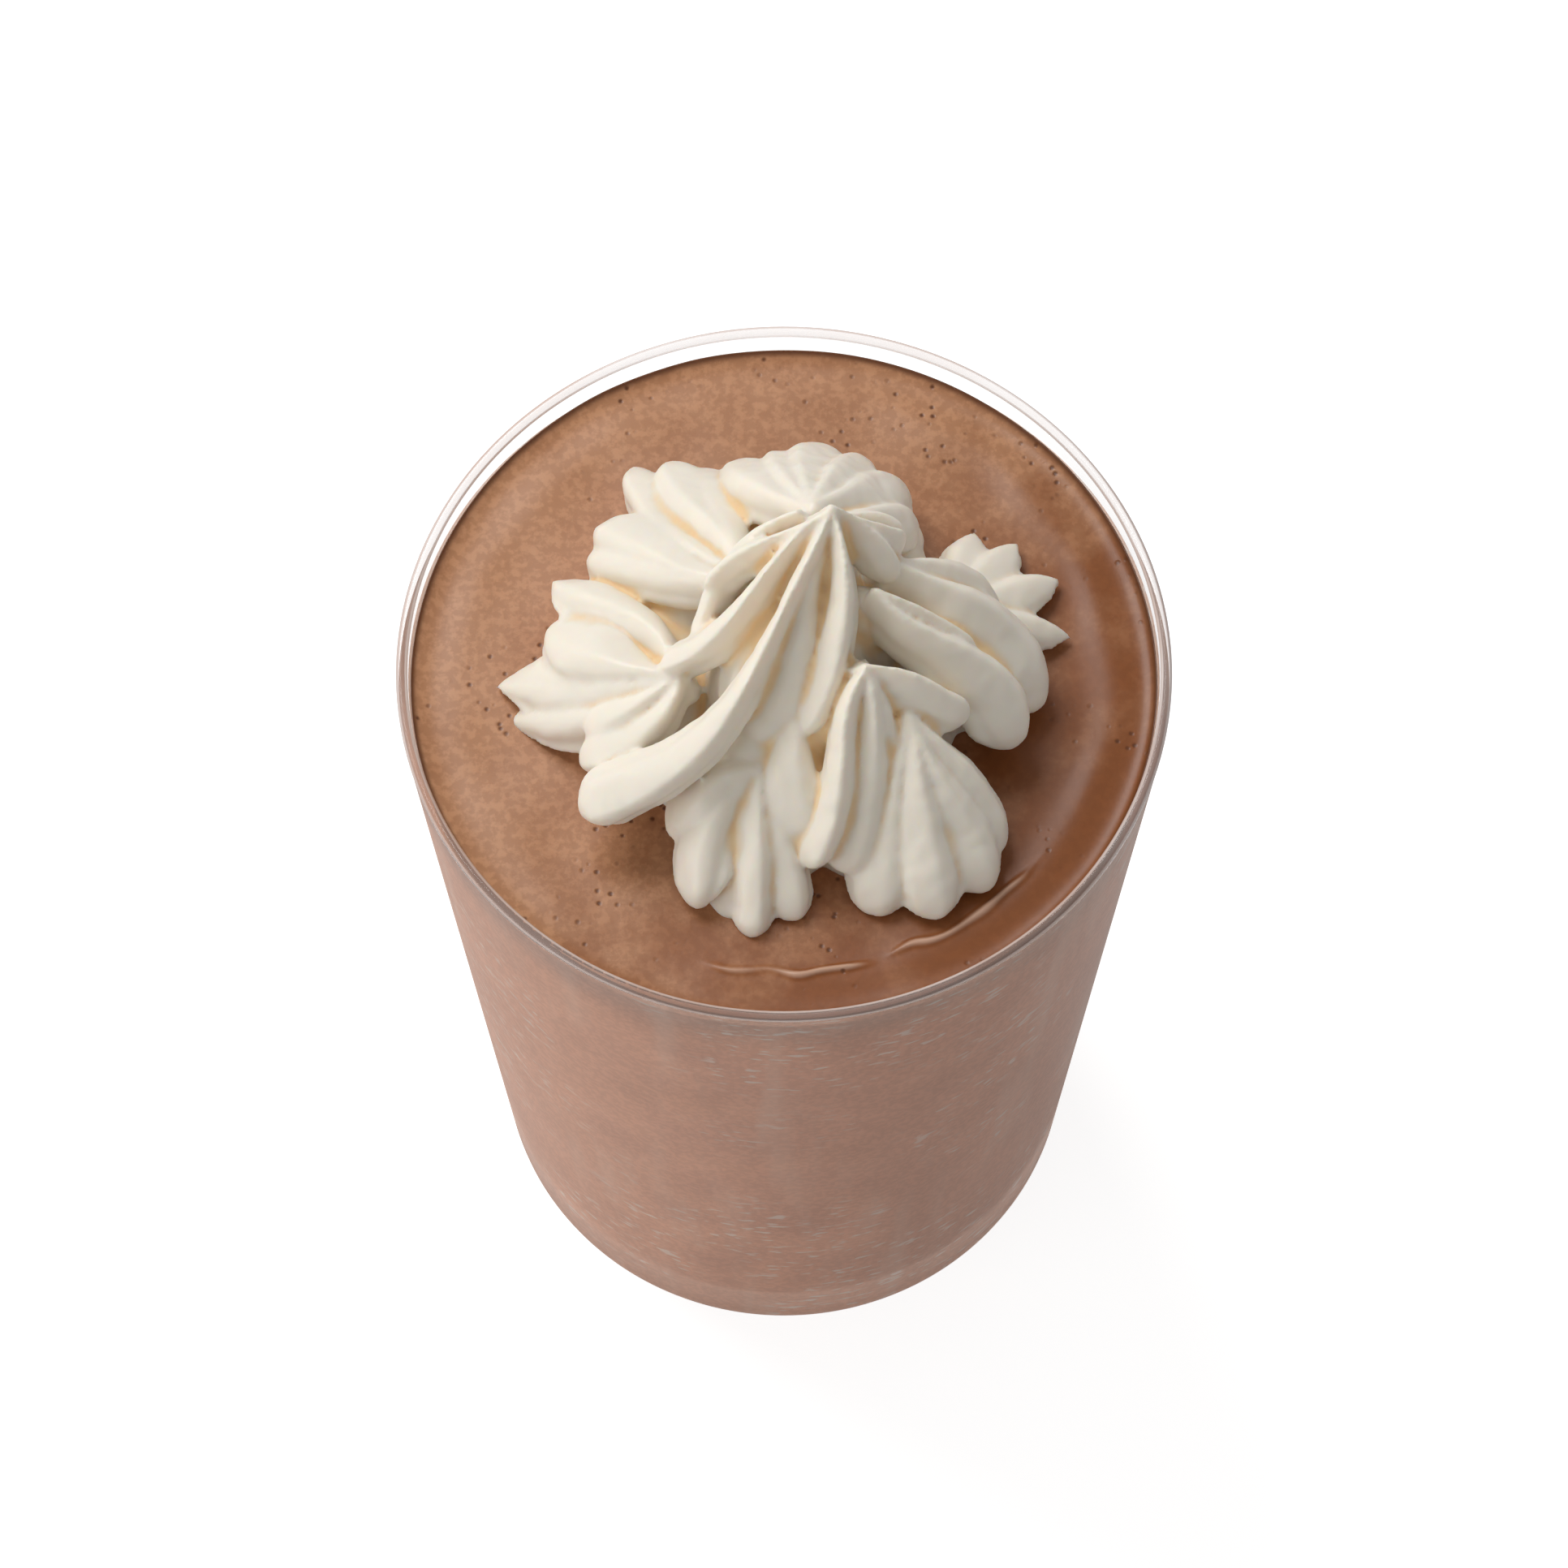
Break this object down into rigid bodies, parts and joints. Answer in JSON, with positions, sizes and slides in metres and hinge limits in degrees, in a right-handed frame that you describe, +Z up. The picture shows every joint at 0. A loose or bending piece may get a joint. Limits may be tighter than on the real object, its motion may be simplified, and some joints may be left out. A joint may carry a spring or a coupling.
{
  "type": "chocolate milkshake",
  "caption": "Chocolate milkshake in a short tapered glass tumbler, topped with a heap of piped whipped cream.",
  "frame": {"origin": "centre of the tumbler's base, on the surface that it stands on", "axes": "+Z up, -Y towards the viewer of the picture, +X to the viewer's right"},
  "size_m": [0.084, 0.084, 0.1363],
  "materials": {
    "glass": "clear, faintly misted by the cold drink",
    "milkshake": "smooth, slightly frothy chocolate drink with a soft sheen",
    "cream": "soft warm white whipped cream with a satin surface"
  },
  "bodies": {
    "root": {"glass": "glass", "milkshake": "milkshake", "whipped_cream": "cream"}
  },
  "joints": []
}
